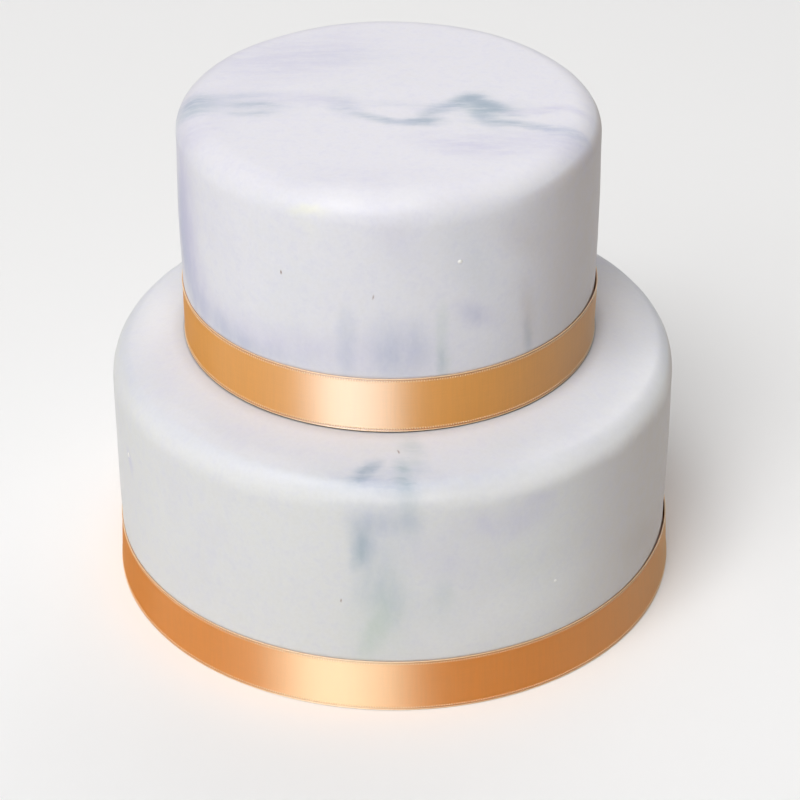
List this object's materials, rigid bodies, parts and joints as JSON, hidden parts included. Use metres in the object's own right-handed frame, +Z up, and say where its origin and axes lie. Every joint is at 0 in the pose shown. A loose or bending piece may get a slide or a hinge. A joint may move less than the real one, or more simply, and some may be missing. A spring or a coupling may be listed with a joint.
{
  "type": "two-tier cake",
  "caption": "Uncut two-tier round cake, covered in marbled fondant, with a satin ribbon round the foot of each tier.",
  "frame": {"origin": "middle of the lower tier's underside, on the surface that the cake stands on", "axes": "+Z up along the lower tier's axis; -Y is the front, the side the picture shows; the ribbons' laps are at the back, on +Y"},
  "size_m": [0.2439, 0.2441, 0.2167],
  "materials": {
    "fondant": "rolled fondant icing, matt with a soft sheen, marbled in pale lavender, blue-grey and grey-green",
    "ribbon": "single-face satin ribbon, peach gold, with woven selvedges"
  },
  "bodies": {
    "root": {"lower_tier": "fondant", "upper_tier": "fondant", "lower_ribbon": "ribbon", "upper_ribbon": "ribbon"}
  },
  "joints": []
}
